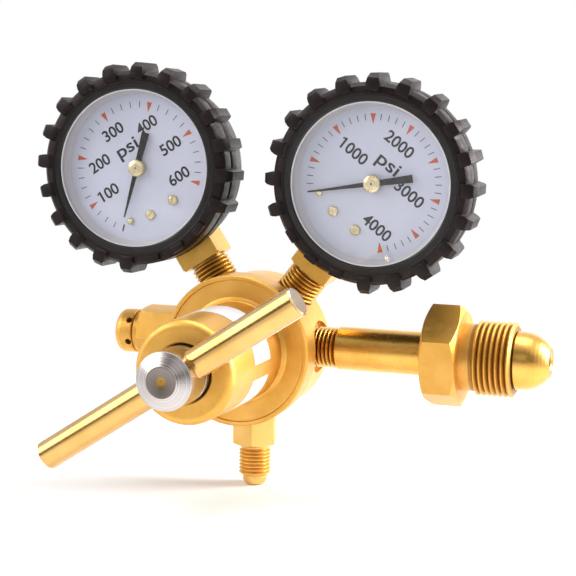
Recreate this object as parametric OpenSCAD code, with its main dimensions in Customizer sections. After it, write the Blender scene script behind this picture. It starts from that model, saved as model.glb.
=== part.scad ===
// Single-stage gas regulator with a T-handle, a contents gauge, a delivery gauge,
// a nut-and-nipple inlet, a flare outlet and a relief valve.
// Origin: on the inlet axis, at the outer edge of the nut thread's last crest. +X leads out of
// the inlet, +Z is up and the handle points to -Y. Depths along the handle axis are counted from
// the crossing of the port axes, positive towards the handle.

/* [Body] */
// Radius of the forged body
body_r = 24; // [23.5:0.5:26]
// Depth of the body behind the port axes
body_back = 9.5; // [9:0.5:13]
// Chamfer round the back of the body
body_chamfer = 2.3; // [1:0.1:3]
// Distance of the spot faces of inlet, outlet and relief ports from the body's centre
port_face = 21; // [20.5:0.5:23]
// Radius of those spot faces
spot_r = 8.8; // [8:0.2:9.5]
// Distance of the gauge port faces from the body's centre
gauge_port_face = 23.2; // [22.4:0.2:24]
// Distance from the body's centre at which every port's tapping ends
port_bottom = 15; // [14.5:0.5:17]
// Radius of the gas passages
passage_r = 1.6; // [1:0.1:1.8]
// Distance of the low-pressure passages from the handle axis
passage_offset = 12; // [11:0.5:13]

/* [Bonnet] */
// Radius of the bonnet ring
ring_r = 25.4; // [25:0.2:28]
// Depth of the ring's front face in front of the port axes
ring_front = 20; // [19:0.5:23]
// Depth of the ring's rear edge in front of the port axes
ring_rear = 11.4; // [11:0.2:12.5]
// Width of the raised rim round the ring's face
rim_w = 1.5; // [1:0.1:3]
// Depth of the sunk band inside the rim
band_depth = 0.6; // [0.3:0.1:1]
// Radius of the spring barrel
barrel_r = 16.5; // [16:0.1:17.5]
// Depth of the barrel's front face in front of the port axes
barrel_front = 64; // [60:0.2:68]
// Rounding of the barrel's front edge
barrel_round = 2.5; // [1:0.5:4]
// Radius of the guide bore in the barrel's mouth
mouth_r = 9.3; // [9:0.05:10]
// Length of the tapped wall that carries the adjusting screw
tapped_wall = 7.5; // [6:0.5:8]
// Radius of the spring chamber
chamber_r = 12.6; // [12:0.2:13.5]
// Width of the band round the barrel
label_w = 13.5; // [10:0.5:16]
// Distance of the band from the ring's front face
label_gap = 11.5; // [8:0.5:16]
// Thickness of the band
label_t = 0.2; // [0.1:0.05:0.4]

/* [Handle] */
// Radius of the steel hub
hub_r = 9.1; // [8.8:0.1:10]
// Radius of the flat on the hub's end
hub_flat_r = 4.9; // [3:0.1:6]
// Height of the cone round that flat
hub_cone = 2; // [1:0.1:4]
// Distance of the hub's end from the barrel's face
hub_reach = 16.3; // [16:0.1:24]
// Distance of the cross bar's centre line from the barrel's face
bar_stand = 6.65; // [6.6:0.05:9]
// Radius of the cross bar
bar_r = 4.7; // [4:0.1:4.8]
// Reach of the bar's raised end from the handle axis
bar_long_up = 47; // [35:1:60]
// Reach of the bar's lowered end from the handle axis
bar_long_down = 51.5; // [35:1:65]
// Slope of the bar as the handle stands at rest
bar_slope = 33.1; // [0:0.1:90]
// Radius of the screw's thread
screw_r = 6; // [5.5:0.1:7]
// Pitch of the screw's thread
screw_pitch = 2.117; // [1.8:0.001:2.4]

/* [Inlet] */
// Outer radius of the quarter-inch taper thread that all ports share
pipe_r = 6.86; // [6.6:0.02:7.2]
// Root radius of that thread
pipe_root_r = 6; // [5.6:0.05:6.3]
// Pitch of that thread
pipe_pitch = 1.411; // [1.2:0.001:1.6]
// Turns of thread that stand out of the inlet port
inlet_turns_out = 6; // [2:1:8]
// Radius of the nipple's stem
stem_r = 7.3; // [6.9:0.1:7.6]
// Distance of the nut's hexagon from the body's centre
nut_start = 61.2; // [52:0.2:70]
// Height of the hexagon
nut_hex_h = 11.8; // [10:0.2:16]
// Size of the hexagon across its flats
nut_af = 30.16; // [27:0.01:32]
// Width of the relief between hexagon and thread
nut_neck_w = 4.5; // [2:0.5:6]
// Radius of that relief
nut_neck_r = 11; // [10:0.1:11.2]
// Outer radius of the nut's thread
nut_thread_r = 12.255; // [11.8:0.005:12.8]
// Pitch of the nut's thread
nut_pitch = 1.814; // [1.6:0.001:2]
// Turns of the nut's thread
nut_turns = 7; // [6:1:10]
// Radius of the nipple's nose where it seats against the nut
nose_r = 9.6; // [9:0.1:10.4]
// Length of the nose
nose_l = 10.9; // [10:0.1:14]
// Radius of the flat at the nose's tip
nose_tip_r = 4.75; // [3.5:0.05:6]
// Radius of the gas bore in the nipple
nipple_bore_r = 2.5; // [1.5:0.1:3]
// Radius of the filter
filter_r = 3.9; // [3:0.1:4.3]
// Length of the filter
filter_l = 9; // [6:0.5:14]

/* [Outlet] */
// Length of taper thread between the outlet port and the hexagon
outlet_turns_out = 2; // [1:1:4]
// Height of the outlet fitting's hexagon
outlet_hex_h = 10.9; // [8:0.1:14]
// Size of that hexagon across its flats
outlet_af = 14.29; // [13.5:0.01:16]
// Outer radius of the flare thread
flare_r = 5.556; // [5:0.001:6.4]
// Pitch of the flare thread
flare_pitch = 1.27; // [1:0.01:1.5]
// Turns of the flare thread
flare_turns = 7; // [5:1:9]
// Radius of the flare seat where it leaves the thread
flare_nose_r = 4.3; // [3.8:0.1:4.6]
// Length of the flare seat
flare_nose_l = 3.4; // [2.5:0.1:5]
// Radius of the outlet's gas bore
outlet_bore_r = 2.6; // [2:0.1:2.8]

/* [Relief valve] */
// Height of the relief port above the inlet axis
relief_rise = 1.1; // [0:0.1:2]
// Distance of the relief valve's hexagon from the body's centre
relief_start = 24.4; // [24.4:0.1:27]
// Height of that hexagon
relief_hex_h = 17; // [14:0.2:24]
// Size of that hexagon across its flats
relief_af = 17.46; // [16:0.01:19]
// Radius of the collar behind the cap
relief_collar_r = 7; // [6.5:0.1:7.4]
// Height of that collar
relief_collar_h = 2.4; // [1.5:0.1:4]
// Radius of the vented cap
cap_r = 7.6; // [7.2:0.1:8.4]
// Height of the cap
cap_h = 6.7; // [6:0.1:9]
// Radius of the cap's vents
vent_r = 1.1; // [0.6:0.1:1.2]

/* [Gauges] */
// Lean of the delivery gauge away from upright, towards the relief valve
low_lean = 33.2; // [28:0.1:42]
// Lean of the contents gauge away from upright, towards the inlet
high_lean = 37.9; // [30:0.1:38.5]
// Distance of the delivery gauge's centre from the body's centre
low_reach = 70.3; // [68:0.1:80]
// Distance of the contents gauge's centre from the body's centre
high_reach = 72.2; // [68:0.1:80]
// Turn of the delivery gauge about its stem
low_turn = 2.7; // [0:0.1:5]
// Turn of the contents gauge about its stem
high_turn = 2; // [0:0.1:5]
// Outer radius of the gauge case
case_r = 29.6; // [28.5:0.1:31]
// Depth of the case behind the stem's axis
case_back = 10; // [9:0.5:14]
// Depth of the case's front edge in front of the stem's axis
case_front = 16.6; // [16:0.1:18]
// Wall of the case
case_wall = 0.8; // [0.6:0.1:1.2]
// Reach of the bezel inwards from the case's outside, round the window
bezel_reach = 3.2; // [2.2:0.1:4.4]
// Thickness of the lens
lens_t = 1.2; // [0.8:0.1:1.6]
// Thickness of the bezel's lip
lip_t = 0.9; // [0.6:0.1:1.4]
// Depth of the dial's face in front of the stem's axis
dial_face = 13; // [12.6:0.1:13.4]
// Thickness of the dial
dial_t = 0.8; // [0.4:0.1:1]
// Length of the pointer from its axis to its tip
pointer_l = 21.5; // [18:0.1:23.5]
// Length of the pointer's tail
tail_l = 13.5; // [8:0.5:15]
// Radius of the pointer's hub
pointer_hub_r = 2.8; // [2:0.1:3.4]
// Distance of each dial screw from the dial's upright
dial_screw_x = 4.8; // [4:0.1:6]
// Distance of the dial screws below the dial's centre
dial_screw_drop = 15.7; // [14:0.1:17]
// Width of the square shank
shank_w = 14.29; // [13:0.01:15]
// Distance of the shank's lower end from the body's centre
shank_start = 32.6; // [32:0.1:36]
// Pitch radius of the pinion
pinion_r = 1.1; // [1:0.05:1.3]
// Gear ratio from the sector to the pinion
gear_ratio = 10; // [9:1:11]
// Mean radius of the pressure tube's curve
tube_bend_r = 19; // [17:0.5:21]

/* [Boots] */
// Thickness of the boot's sleeve between its teeth
boot_wall = 2.13; // [1.8:0.01:4]
// Height of the teeth above the sleeve
tooth_h = 2.8; // [1.5:0.1:4]
// Pitches of teeth round the boot
tooth_pitches = 20; // [16:1:24]
// Pitches left without a tooth at the stem
tooth_gap = 3; // [3:1:5]
// Width of a tooth at its tip
tooth_tip_w = 3; // [2:0.1:4]
// Width of a tooth at its root
tooth_root_w = 4.5; // [3:0.1:6]
// Depth of the boot
boot_depth = 15.5; // [12:0.5:20]
// Reach of the boot's front lip inwards over the bezel
boot_lip = 1.9; // [1:0.1:2.4]
// Height of the ribs on the boot's front above the lip
rib_h = 1; // [0.4:0.1:1.4]

/* [Fits] */
// Radial gap between the threads of pieces screwed together
screwed_gap = 0.05; // [0.02:0.01:0.1]
// Gap between pieces that move past each other
moving_gap = 0.3; // [0.2:0.05:0.4]
// Gap between faces that only rest on each other
rest_gap = 0.02; // [0:0.01:0.05]

/* [Hidden] */
$fn = 64;

brass = [0.84, 0.66, 0.33];
bright_brass = [0.9, 0.76, 0.45];
steel = [0.75, 0.74, 0.73];
spring_steel = [0.55, 0.56, 0.58];
black_rubber = [0.13, 0.11, 0.11];
black_paint = [0.08, 0.08, 0.09];

// Flat and groove widths of every thread, as shares of its pitch
crest_share = 0.2;
thread_lead = 0.6;
// Extra length that a cutting solid has past the face it cuts
over = 1;

// Places along the inlet axis, from the body's centre
nut_hex_end = nut_start + nut_hex_h;
nut_thread_start = nut_hex_end + nut_neck_w;
nut_end = nut_thread_start + nut_turns * nut_pitch;
origin_reach = nut_end - nut_pitch * (1 - crest_share) / 2;
nose_start = nut_end + moving_gap;
inlet_thread_end = port_face + rest_gap + inlet_turns_out * pipe_pitch + thread_lead;

// Places along the handle axis, counted forwards from the port axes
neck_front = ring_rear + 3.2;
neck_r = ring_r - 3.9;
diaphragm_t = 1.6;
diaphragm_front = neck_front + diaphragm_t;
slip_t = 0.8;
shoulder = diaphragm_front + slip_t;
clamp_r = neck_r - 0.3;
open_r = 15;
sump_depth = 3;
sump_floor = neck_front - sump_depth;
tapped_front = barrel_front - 12.8;
chamber_front = tapped_front - tapped_wall;
bar_depth = barrel_front + bar_stand;
hub_end = barrel_front + hub_reach;
hub_shoulder = barrel_front + 3.4;
hub_ring_front = hub_shoulder - 1.3;
hub_ring_rear = tapped_front + 4;
screw_tip = chamber_front - 2.3;
ball_r = 2.4;
ball_sink = 0.9;
ball_depth = screw_tip - ball_sink;
button_front = ball_depth - ball_sink;
button_t = 3.5;
button_rear = button_front - button_t;
button_r = chamber_r - 3;
plate_r = 12;
plate_rear = diaphragm_front + rest_gap;
plate_front = plate_rear + 2.1;
spring_wire_r = 1.6;
spring_mean_r = 8.2;
spigot_r = spring_mean_r - spring_wire_r - moving_gap;

// The valve, counted forwards from the port axes
nozzle_r = 6.5;
nozzle_rear = 5.5;
nozzle_flange_t = 1.6;
orifice_r = 1.7;
poppet_stem_r = 1.2;
poppet_head_r = 3.4;
poppet_head_t = 3;
valve_bore_r = 4.6;
valve_bore_back = 5.5;
valve_wire_r = 0.4;

// Outlet and relief places, counted outwards from the body's centre
outlet_hex_start = port_face + rest_gap + outlet_turns_out * pipe_pitch + thread_lead;
outlet_hex_end = outlet_hex_start + outlet_hex_h;
flare_start = outlet_hex_end + 1.6;
flare_end = flare_start + flare_turns * flare_pitch;
relief_hex_end = relief_start + relief_hex_h;
collar_end = relief_hex_end + relief_collar_h;
cap_start = collar_end + rest_gap;
cap_end = cap_start + cap_h;
relief_bore_r = 3.4;
relief_seat = relief_start + 3;
relief_wire_r = 0.45;
cap_spigot_r = 4.8;

// Gauge places, counted forwards from the stem's axis
lens_rear = case_front + 0.1;
lens_front = lens_rear + lens_t;
bezel_front = lens_front + rest_gap + lip_t;
bezel_t = 0.6;
bezel_r = case_r + rest_gap + bezel_t;
window_r = case_r - bezel_reach;
boot_face = bezel_front + 0.6;
boot_front = boot_face + rib_h;
boot_rear = boot_front - boot_depth;
boot_bore_r = bezel_r + 0.15;
boot_lip_r = boot_bore_r - boot_lip;
boot_r = boot_bore_r + boot_wall;
tooth_r = boot_r + tooth_h;
plate_t = 0.9;
movement_rear = shank_w / 2 + rest_gap;
movement_front = dial_face - dial_t - rest_gap - plate_t;
gear_rear = movement_rear + plate_t + 0.2;
gear_front = movement_front - 0.2;
pinion_teeth = 8;
sector_r = pinion_r * gear_ratio;
pivot_drop = pinion_r + sector_r;
shaft_r = 0.7;
plate_half = shank_w / 2 + 0.35;
plate_foot = case_r - case_wall - 2.8;
plate_head = 6;
pillar_in = 2;
block_top = -15;

// Moves children onto the handle axis, at a depth in front of the port axes, with z towards the handle
module forward(depth = 0) translate([0, -depth, 0]) rotate([90, 0, 0]) children();

// Turns children so that z runs out of each port
module inlet_way() rotate([0, 90, 0]) children();
module outlet_way() rotate([0, 180, 0]) children();
module relief_way() translate([0, 0, relief_rise]) rotate([0, -90, 0]) children();

// Puts the body's centre at its place behind the part's origin
module placed() translate([-origin_reach, 0, 0]) children();

// Puts a gauge's own centre at its place: z up the stem, -y out of the dial
module low_place() placed() rotate([0, -low_lean, 0]) rotate([0, 0, low_turn])
    translate([0, 0, low_reach]) children();
module high_place() placed() rotate([0, high_lean, 0]) rotate([0, 0, high_turn])
    translate([0, 0, high_reach]) children();

// Points of one side of a thread as stacked V grooves, from z0 up
function thread_side(z0, turns, pitch, crest, root) = [
    for (i = [0 : turns - 1]) each [
        [root, z0 + i * pitch],
        [crest, z0 + (i + (1 - crest_share) / 2) * pitch],
        [crest, z0 + (i + (1 + crest_share) / 2) * pitch]
    ],
    [root, z0 + turns * pitch]
];

// Points of an arc in a profile
function arc(c, r, a0, a1, n = 8) = [for (i = [0 : n]) c + r * [cos(a0 + (a1 - a0) * i / n),
    sin(a0 + (a1 - a0) * i / n)]];

// Turned piece from one side's points, closed along its axis
module turned(side) rotate_extrude() polygon(concat([[0, side[0][1]]], side,
    [[0, side[len(side) - 1][1]]]));

// Hexagonal prism with its corners chamfered at the ends that are asked for
module hexagon(af, h, low_chamfer, high_chamfer) {
    corner = af / sqrt(3);
    drop = (corner - af / 2) * 0.6;
    intersection() {
        cylinder(r = corner, h = h, $fn = 6);
        turned([[low_chamfer ? af / 2 - 0.3 : corner + over, 0],
            [corner + 0.01, low_chamfer ? drop : 0],
            [corner + 0.01, high_chamfer ? h - drop : h],
            [high_chamfer ? af / 2 - 0.3 : corner + over, h]]);
    }
}

// Round spring wire along a helix: closed, with flat first and last turns
module coil(mean, wire, length, turns) {
    steps = 16;
    sides = 6;
    n = turns * steps;
    free = length - 2 * wire;
    function rise(t) = let (u = t * turns) u < 1 ? u * wire * 2
        : u > turns - 1 ? free - (turns - u) * wire * 2
        : wire * 2 + (u - 1) / (turns - 2) * (free - wire * 4);
    points = [for (i = [0 : n]) let (a = i * 360 / steps, z = wire + rise(i / n))
        for (j = [0 : sides - 1]) let (b = j * 360 / sides, r = mean + wire * cos(b))
            [r * cos(a), r * sin(a), z + wire * sin(b)]];
    faces = concat([[for (j = [0 : sides - 1]) j]],
        [for (i = [0 : n - 1]) for (j = [0 : sides - 1]) let (k = (j + 1) % sides)
            [i * sides + j, (i + 1) * sides + j, (i + 1) * sides + k, i * sides + k]],
        [[for (j = [sides - 1 : -1 : 0]) n * sides + j]]);
    polyhedron(points, faces);
}

module body() color(brass) placed() difference() {
    forward(-body_back) turned([[body_r - body_chamfer, 0], [body_r, body_chamfer],
        [body_r, body_back + ring_rear - 0.4], [body_r - 0.4, body_back + ring_rear],
        [neck_r, body_back + ring_rear], [neck_r, body_back + neck_front]]);
    // Chamber under the diaphragm, the nozzle's seat and the valve's bore
    forward(sump_floor) cylinder(r = open_r, h = sump_depth + over);
    forward(nozzle_rear) cylinder(r = nozzle_r, h = sump_floor - nozzle_rear + over);
    forward(-valve_bore_back) cylinder(r = valve_bore_r, h = valve_bore_back + nozzle_rear + over);
    // Ports with their spot faces
    inlet_way() port(port_face);
    outlet_way() port(port_face);
    relief_way() port(port_face);
    rotate([0, -low_lean, 0]) port(gauge_port_face);
    rotate([0, high_lean, 0]) port(gauge_port_face);
    // Inlet gas reaches the valve's bore, and so does the contents gauge
    inlet_way() cylinder(r = passage_r, h = port_bottom + over);
    rotate([0, high_lean, 0]) cylinder(r = passage_r, h = port_bottom + over);
    // Delivery gas leaves the chamber through drillings beside the valve
    outlet_way() side_passage();
    relief_way() side_passage();
    rotate([0, -low_lean, 0]) side_passage();
}

// Tapped hole of a port, with its spot face
module port(face) {
    translate([0, 0, port_bottom]) cylinder(r = pipe_root_r + screwed_gap, h = face);
    translate([0, 0, face - 0.8]) cylinder(r1 = pipe_root_r + screwed_gap, r2 = pipe_r, h = 0.8 + 0.01);
    translate([0, 0, face]) cylinder(r = spot_r, h = body_r);
}

// Drilling that joins a port's bottom to the chamber under the diaphragm
module side_passage() {
    translate([0, 0, passage_offset]) rotate([90, 0, 0])
        cylinder(r = passage_r, h = sump_floor + over / 2);
    translate([0, 0, passage_offset]) cylinder(r = passage_r, h = port_bottom - passage_offset + over);
}

module bonnet() color(brass) placed() difference() {
    forward(ring_rear) turned(concat(
        [[ring_r - 0.3, 0], [ring_r, 0.3], [ring_r, ring_front - ring_rear - 0.6]],
        [[ring_r - 0.6, ring_front - ring_rear], [ring_r - rim_w, ring_front - ring_rear],
            [ring_r - rim_w - 0.3, ring_front - ring_rear - band_depth],
            [barrel_r + 1.6, ring_front - ring_rear - band_depth],
            [barrel_r + 0.8, ring_front - ring_rear]],
        arc([barrel_r + 0.8, ring_front - ring_rear + 0.8], 0.8, 270, 180, 3),
        arc([barrel_r - barrel_round, barrel_front - ring_rear - barrel_round], barrel_round, 0, 90)));
    forward(ring_rear - over) cylinder(r = neck_r + screwed_gap, h = shoulder - ring_rear + over);
    forward(shoulder - over) cylinder(r = open_r, h = over + 1.6);
    forward(shoulder) cylinder(r = chamber_r, h = chamber_front - shoulder);
    forward(chamber_front - over) cylinder(r = screw_r + screwed_gap, h = tapped_wall + 2 * over);
    forward(tapped_front) cylinder(r = mouth_r, h = barrel_front - tapped_front + over);
    forward(barrel_front - 0.5) cylinder(r1 = mouth_r, r2 = mouth_r + 0.6, h = 0.6);
    // Vent through the barrel's underside
    translate([0, -(chamber_front - 6), 0]) rotate([180, 0, 0]) cylinder(r = 1.2, h = barrel_r + over);
}

// Band round the barrel, open at its right side
module bonnet_label() color("white") placed() forward(ring_front + label_gap)
    rotate([0, 0, 2]) rotate_extrude(angle = 342) translate([barrel_r + rest_gap / 2, 0])
        square([label_t, label_w]);

module slip_ring() color(brass) placed() forward(diaphragm_front + rest_gap / 2) difference() {
    cylinder(r = clamp_r, h = slip_t - rest_gap);
    translate([0, 0, -over]) cylinder(r = open_r, h = slip_t + 2 * over);
}

module diaphragm() color([0.2, 0.18, 0.17]) placed() forward(neck_front + rest_gap / 2) {
    h = diaphragm_t - rest_gap;
    rotate_extrude() polygon([[0, 0], [plate_r, 0], [plate_r + 0.7, -0.8], [open_r - 0.9, -0.8],
        [open_r - 0.2, 0], [clamp_r, 0], [clamp_r, h], [open_r - 0.9, h], [open_r - 1.4, h - 0.8],
        [plate_r + 1.2, h - 0.8], [plate_r + 0.5, h], [0, h]]);
}

module diaphragm_plate() color(brass) placed() forward(plate_rear)
    turned([[plate_r - 0.4, 0], [plate_r, 0.4], [plate_r, 1.8], [plate_r - 0.3, 2.1],
        [spigot_r, 2.1], [spigot_r, 3.6], [spigot_r - 0.7, 4.3]]);

module main_spring() color(spring_steel) placed() forward(plate_front + rest_gap)
    coil(spring_mean_r, spring_wire_r, button_rear - plate_front - 2 * rest_gap, 4);

module spring_button() color(steel) placed() difference() {
    forward(button_rear - 1.8) turned([[spigot_r - 0.6, 0], [spigot_r, 0.6], [spigot_r, 1.8],
        [button_r, 1.8], [button_r, 1.8 + button_t - 1], [button_r - 1, 1.8 + button_t]]);
    translate([0, -ball_depth, 0]) sphere(r = ball_r + screwed_gap);
}

module thrust_ball() color(steel) placed() translate([0, -ball_depth, 0]) sphere(r = ball_r);

// Hub and screw, turned as one piece
module adjusting_screw() color(steel) placed() difference() {
    forward(screw_tip) turned(concat(
        [[screw_r - 1.2, 0]],
        thread_side(0.6, 6, screw_pitch, screw_r, screw_r - 0.7),
        [[screw_r - 0.7, hub_ring_rear - screw_tip], [mouth_r - moving_gap, hub_ring_rear - screw_tip],
            [mouth_r - moving_gap, hub_ring_front - screw_tip],
            [hub_r - 1, hub_ring_front - screw_tip + 0.2], [hub_r - 1, hub_shoulder - screw_tip - 0.2],
            [hub_r - 0.3, hub_shoulder - screw_tip], [hub_r, hub_shoulder - screw_tip + 0.3],
            [hub_r, hub_end - hub_cone - screw_tip - 0.2],
            [hub_r - 0.2, hub_end - hub_cone - screw_tip], [hub_flat_r, hub_end - screw_tip],
            [hub_flat_r - 0.4, hub_end - screw_tip], [0.9, hub_end - screw_tip - 0.35]]));
    translate([0, -ball_depth, 0]) sphere(r = ball_r + screwed_gap);
    translate([0, -bar_depth, 0]) rotate([0, 90 - bar_slope, 0]) {
        cylinder(r = bar_r + screwed_gap, h = 4 * hub_r, center = true);
        for (side = [0, 180]) rotate([0, side, 0]) translate([0, 0, hub_r - 1.1])
            cylinder(r1 = bar_r, r2 = bar_r + 1.6, h = 1.6);
    }
}

module handle_bar() color(bright_brass) placed() translate([0, -bar_depth, 0])
    rotate([0, 90 - bar_slope, 0]) translate([0, 0, -bar_long_down])
        turned([[bar_r - 0.5, 0], [bar_r, 0.5], [bar_r, bar_long_up + bar_long_down - 0.5],
            [bar_r - 0.5, bar_long_up + bar_long_down]]);

// Nozzle with the valve's seat on its rear end
module seat_nozzle() color(brass) placed() difference() {
    union() {
        forward(nozzle_rear + 0.6) cylinder(r = nozzle_r - screwed_gap, h = sump_floor - nozzle_rear);
        forward(nozzle_rear) cylinder(r1 = orifice_r + 0.5, r2 = orifice_r + 1.1, h = 0.61);
        forward(sump_floor + rest_gap) hexagon(13, nozzle_flange_t, false, true);
    }
    forward(nozzle_rear - over) cylinder(r = orifice_r, h = sump_floor);
    // Cross drillings under the hexagon's face lead the gas into the chamber
    forward(sump_floor + rest_gap + nozzle_flange_t / 2) rotate([0, 90, 0])
        cylinder(r = 0.5, h = 20, center = true);
}

module valve_poppet() color(brass) placed() forward(nozzle_rear - rest_gap - poppet_head_t)
    translate([0, 0, -2]) turned([[1.6, 0], [1.8, 0.2], [1.8, 2], [poppet_head_r, 2],
        [poppet_head_r, 1.4 + poppet_head_t], [poppet_head_r - 0.6, 2 + poppet_head_t],
        [poppet_stem_r, 2 + poppet_head_t],
        [poppet_stem_r, 2 + poppet_head_t + neck_front - nozzle_rear - 0.05]]);

module valve_spring() color(spring_steel) placed() forward(-valve_bore_back + rest_gap)
    coil(2.6, valve_wire_r, valve_bore_back + nozzle_rear - poppet_head_t - 3 * rest_gap, 5);

// Nipple: taper thread, stem and bullet nose in one piece
module inlet_nipple() color(brass) placed() inlet_way() difference() {
    nose_shoulder = nose_start + 1.6;
    rise = nose_r - nose_tip_r;
    run = nose_start + nose_l - nose_shoulder;
    bow = (run * run + rise * rise) / (2 * rise);
    turned(concat([[pipe_root_r - 0.5, port_bottom + moving_gap],
            [pipe_root_r, port_bottom + moving_gap + 0.8]],
        thread_side(port_face + rest_gap, inlet_turns_out, pipe_pitch, pipe_r, pipe_root_r),
        [[stem_r - 0.4, inlet_thread_end], [stem_r, inlet_thread_end + 0.4], [stem_r, nose_start],
            [nose_r - 0.3, nose_start],
            [nose_r, nose_start + 0.3]],
        arc([nose_r - bow, nose_shoulder], bow, 0, asin(run / bow), 8),
        [[nipple_bore_r + 0.6, nose_start + nose_l]]));
    cylinder(r = nipple_bore_r, h = nose_start + nose_l + over);
    cylinder(r = filter_r + screwed_gap, h = port_bottom + moving_gap + filter_l + 0.5);
    translate([0, 0, nose_start + nose_l - 0.6]) cylinder(r1 = nipple_bore_r, r2 = nipple_bore_r + 0.7,
        h = 0.7);
}

module inlet_filter() color([0.6, 0.45, 0.25]) placed() inlet_way()
    translate([0, 0, port_bottom + moving_gap + 0.3])
        turned([[filter_r - 0.4, 0], [filter_r, 0.4], [filter_r, filter_l - 0.4],
            [filter_r - 0.4, filter_l]]);

module inlet_nut() color(brass) placed() inlet_way() difference() {
    union() {
        translate([0, 0, nut_start]) rotate([0, 0, 7.5]) hexagon(nut_af, nut_hex_h, true, true);
        turned(concat([[nut_neck_r, nut_hex_end - over]],
            thread_side(nut_thread_start, nut_turns, nut_pitch, nut_thread_r, nut_neck_r)));
    }
    translate([0, 0, nut_start - over]) cylinder(r = stem_r + moving_gap, h = nut_end);
    translate([0, 0, nut_start - 0.01]) cylinder(r1 = stem_r + 1, r2 = stem_r + moving_gap, h = 0.8);
}

module outlet_fitting() color(brass) placed() outlet_way() difference() {
    union() {
        turned(concat([[pipe_root_r - 0.5, port_bottom + moving_gap],
                [pipe_root_r, port_bottom + moving_gap + 0.8]],
            thread_side(port_face + rest_gap, outlet_turns_out, pipe_pitch, pipe_r, pipe_root_r),
            [[pipe_root_r, outlet_hex_end], [flare_r - 0.5, outlet_hex_end],
                [flare_r - 0.5, outlet_hex_end + 1]],
            thread_side(flare_start, flare_turns, flare_pitch, flare_r, flare_r - 0.75),
            [[flare_nose_r, flare_end + 0.3]],
            arc([flare_nose_r - flare_nose_l, flare_end + 0.9], flare_nose_l, 0, 50, 6)));
        // The outlet hexagon's corners stand as the photographed one's do
        translate([0, 0, outlet_hex_start]) rotate([0, 0, 17.6])
            hexagon(outlet_af, outlet_hex_h, true, true);
    }
    cylinder(r = outlet_bore_r, h = flare_end + 2 * flare_nose_l);
}

module relief_body() color(brass) placed() relief_way() difference() {
    union() {
        turned(concat([[pipe_root_r - 0.5, port_bottom + moving_gap],
                [pipe_root_r, port_bottom + moving_gap + 0.8]],
            thread_side(port_face + rest_gap, 2, pipe_pitch, pipe_r, pipe_root_r),
            [[pipe_root_r, relief_start + over], [relief_collar_r, relief_start + over],
                [relief_collar_r, collar_end - 0.3], [relief_collar_r - 0.3, collar_end]]));
        translate([0, 0, relief_start]) rotate([0, 0, 24.5])
            hexagon(relief_af, relief_hex_h, false, true);
    }
    cylinder(r = passage_r + 0.2, h = relief_seat + over);
    translate([0, 0, relief_seat]) cylinder(r = relief_bore_r, h = collar_end);
    translate([0, 0, collar_end - 4]) cylinder(r = cap_spigot_r + screwed_gap, h = 4 + over);
}

module relief_cap() color(brass) placed() relief_way() difference() {
    union() {
        translate([0, 0, cap_start]) turned(concat([[cap_r - 0.3, 0], [cap_r, 0.3]],
            arc([cap_r - 2.6, cap_h - 2.6], 2.6, 0, 90, 6)));
        translate([0, 0, collar_end - 3.9]) cylinder(r = cap_spigot_r, h = 3.9 + over);
    }
    translate([0, 0, collar_end - 3.9 - over]) cylinder(r = relief_bore_r, h = 3.9 + over + cap_h - 1.8);
    for (i = [0 : 5]) translate([0, 0, cap_start + vent_r + 0.1]) rotate([0, 0, 7.5 + 60 * i])
        rotate([0, 90, 0]) translate([0, 0, 2.5]) cylinder(r = vent_r, h = cap_r);
}

module relief_poppet() color([0.3, 0.3, 0.32]) placed() relief_way()
    translate([0, 0, relief_seat + rest_gap]) turned([[relief_bore_r - 0.7, 0],
        [relief_bore_r - moving_gap, 0.4], [relief_bore_r - moving_gap, 3], [1.5, 3], [1.5, 5.5]]);

module relief_spring() color(spring_steel) placed() relief_way()
    translate([0, 0, relief_seat + 3 + 2 * rest_gap])
        coil(2.3, relief_wire_r, cap_start + cap_h - 1.8 - relief_seat - 3 - 4 * rest_gap, 8);

// Case: a drawn cup with a slot for the socket
module gauge_case() color(black_paint) difference() {
    forward(-case_back) turned(concat(arc([case_r - 3, 3], 3, 270, 360, 5), [[case_r, case_back + case_front]]));
    forward(-case_back + case_wall) turned(concat(
        arc([case_r - 3, 3 - case_wall], 3 - case_wall, 270, 360, 4),
        [[case_r - case_wall, case_back + case_front + over]]));
    translate([-shank_w / 2 - 0.2, -shank_w / 2 - 0.2, -case_r - over])
        cube([shank_w + 0.4, shank_w + 0.4, case_r / 2]);
}

module gauge_bezel() color(black_paint) forward(0) rotate_extrude() polygon([
    [window_r, lens_front + rest_gap], [case_r - 0.1, lens_front + rest_gap],
    [case_r + rest_gap, lens_front - 0.1], [case_r + rest_gap, case_front - 4.6],
    [bezel_r, case_front - 4.6], [bezel_r, lens_front - 0.1], [bezel_r - 0.8, bezel_front],
    [window_r + 0.5, bezel_front], [window_r, bezel_front - 0.4]]);

module gauge_lens() color([0.9, 0.93, 0.95, 0.35]) forward(lens_rear)
    turned([[case_r - 0.3, 0], [case_r - 0.1, 0.2], [case_r - 0.1, lens_t - 0.2],
        [case_r - 0.3, lens_t]]);

module gauge_dial() color([0.86, 0.87, 0.93]) forward(dial_face - dial_t) difference() {
    cylinder(r = case_r - case_wall - 0.15, h = dial_t);
    translate([0, 0, -over]) cylinder(r = 1.6, h = dial_t + 2 * over);
    for (side = [-1, 1]) translate([side * dial_screw_x, -dial_screw_drop, -over]) cylinder(r = 0.9, h = dial_t + 2 * over);
    rotate([0, 0, 225]) translate([pointer_l - 3.2, 1.15, -over]) cylinder(r = 0.55, h = dial_t + 2 * over);
}

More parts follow.
